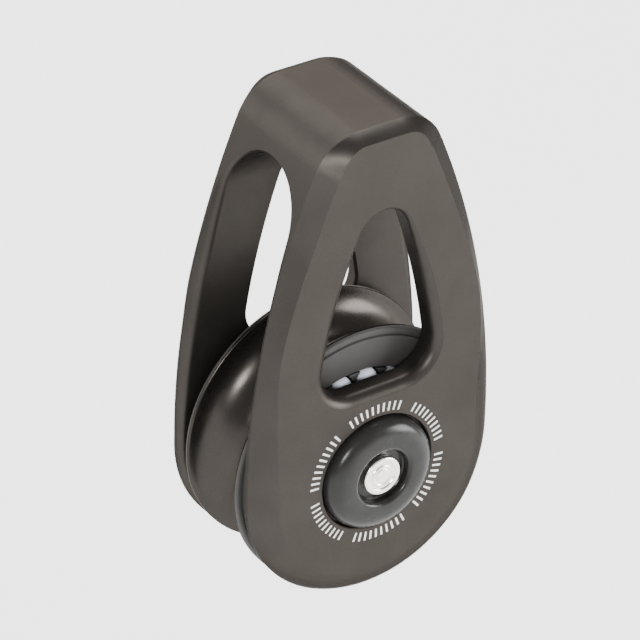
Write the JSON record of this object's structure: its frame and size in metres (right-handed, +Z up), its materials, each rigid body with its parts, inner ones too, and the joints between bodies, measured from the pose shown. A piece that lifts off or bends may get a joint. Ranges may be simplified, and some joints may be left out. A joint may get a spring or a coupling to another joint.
{
  "type": "single sheave block",
  "caption": "Single sheave block with a one-piece cheek frame, windowed cheeks for a strop, and a sheave turning on a bush with caged side balls.",
  "frame": {"origin": "on the block's middle planes, at the height of the tops of the cheek windows, where a strop bears and the block hangs", "axes": "+Z up to the crown, +Y along the axle towards the rear cheek, +X across the cheeks"},
  "size_m": [0.04, 0.027, 0.0744],
  "materials": {
    "anodised_frame": "satin, hard anodised dark grey, fine blasted grain",
    "anodised_sheave": "satin to semi-gloss, turned and anodised dark grey",
    "hub_cap": "smooth, semi-gloss dark grey",
    "stainless": "turned stainless steel with fine concentric tool marks",
    "bush_composite": "matt wound fibre composite",
    "cage_nylon": "matt black moulded nylon",
    "ball_acetal": "smooth white acetal"
  },
  "bodies": {
    "block_frame": {"frame": "anodised_frame", "front_hub_cap": "hub_cap", "rear_hub_cap": "hub_cap", "axle_pin": "stainless", "axle_sleeve": "stainless"},
    "sheave_wheel": {"sheave": "anodised_sheave", "composite_bush": "bush_composite"},
    "front_ball_set": {"front_ball_cage": "cage_nylon", "front_ball_01": "ball_acetal", "front_ball_02": "ball_acetal", "front_ball_03": "ball_acetal", "front_ball_04": "ball_acetal", "front_ball_05": "ball_acetal", "front_ball_06": "ball_acetal", "front_ball_07": "ball_acetal", "front_ball_08": "ball_acetal", "front_ball_09": "ball_acetal", "front_ball_10": "ball_acetal", "front_ball_11": "ball_acetal", "front_ball_12": "ball_acetal", "front_ball_13": "ball_acetal", "front_ball_14": "ball_acetal", "front_ball_15": "ball_acetal", "front_ball_16": "ball_acetal", "front_ball_17": "ball_acetal", "front_ball_18": "ball_acetal"},
    "rear_ball_set": {"rear_ball_cage": "cage_nylon", "rear_ball_01": "ball_acetal", "rear_ball_02": "ball_acetal", "rear_ball_03": "ball_acetal", "rear_ball_04": "ball_acetal", "rear_ball_05": "ball_acetal", "rear_ball_06": "ball_acetal", "rear_ball_07": "ball_acetal", "rear_ball_08": "ball_acetal", "rear_ball_09": "ball_acetal", "rear_ball_10": "ball_acetal", "rear_ball_11": "ball_acetal", "rear_ball_12": "ball_acetal", "rear_ball_13": "ball_acetal", "rear_ball_14": "ball_acetal", "rear_ball_15": "ball_acetal", "rear_ball_16": "ball_acetal", "rear_ball_17": "ball_acetal", "rear_ball_18": "ball_acetal"}
  },
  "joints": [
    {"name": "sheave_spin", "type": "hinge", "parent": "block_frame", "child": "sheave_wheel", "pos_m": [0, 0, -0.042], "axis": [0, 1, 0], "continuous": true},
    {"name": "front_ball_roll", "type": "hinge", "parent": "block_frame", "child": "front_ball_set", "pos_m": [0, 0, -0.042], "axis": [0, 1, 0], "continuous": true},
    {"name": "rear_ball_roll", "type": "hinge", "parent": "block_frame", "child": "rear_ball_set", "pos_m": [0, 0, -0.042], "axis": [0, 1, 0], "continuous": true}
  ],
  "couplings": [
    {"joint": "front_ball_roll", "follows": "sheave_spin", "ratio": 0.5},
    {"joint": "rear_ball_roll", "follows": "sheave_spin", "ratio": 0.5}
  ]
}
